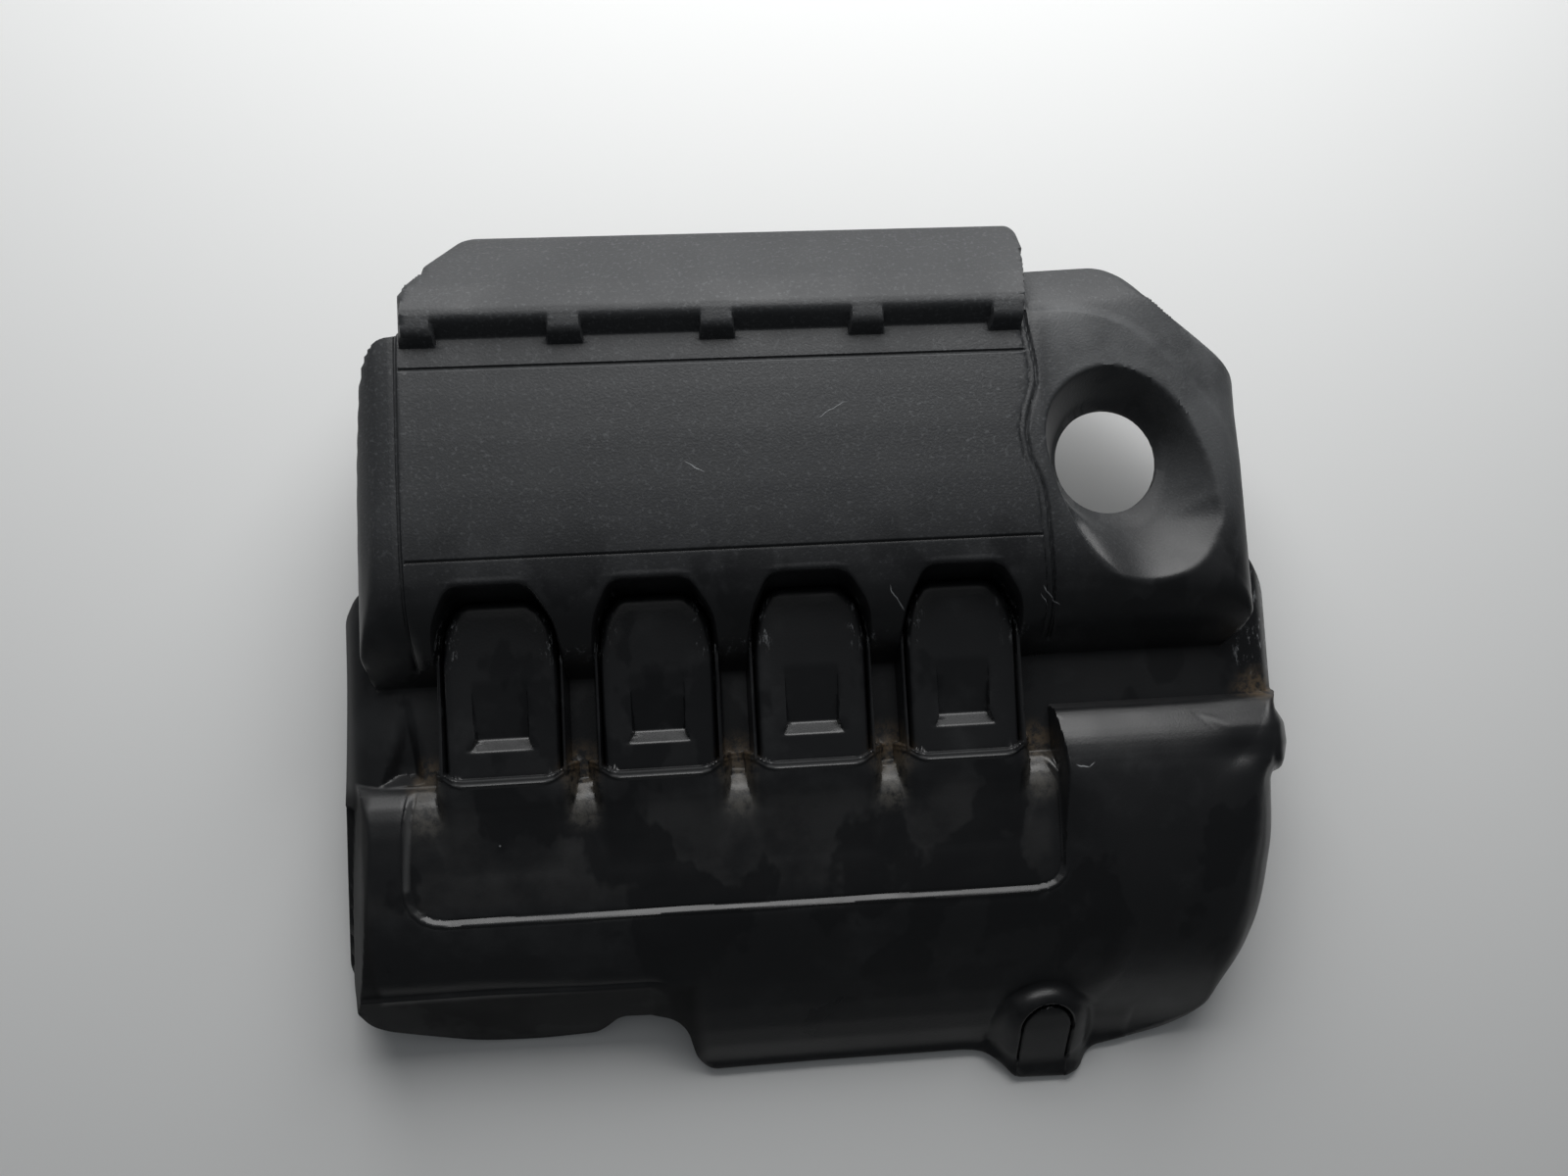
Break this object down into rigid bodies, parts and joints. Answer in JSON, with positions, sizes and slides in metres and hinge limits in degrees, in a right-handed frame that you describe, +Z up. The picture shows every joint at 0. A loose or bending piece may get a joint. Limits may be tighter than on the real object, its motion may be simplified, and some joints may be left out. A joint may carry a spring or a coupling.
{
  "type": "engine cover",
  "caption": "Black moulded plastic engine cover with a raised roof, tongues over a valley, a filler opening, a rear flap and rubber grommets underneath.",
  "frame": {"origin": "centre of the cover's box in plan, on the plane that its lowest rim rests on", "axes": "+X across the engine to the filler's side, +Y towards the engine's rear, +Z up through the top face"},
  "size_m": [0.568, 0.52, 0.12],
  "materials": {
    "black_plastic": "grained black nylon with dust and oily smears",
    "grommet_rubber": "smooth dark rubber"
  },
  "bodies": {
    "root": {"cover_shell": "black_plastic", "grommet_rear_left": "grommet_rubber", "grommet_rear_right": "grommet_rubber", "grommet_front_left": "grommet_rubber", "grommet_front_right": "grommet_rubber"}
  },
  "joints": []
}
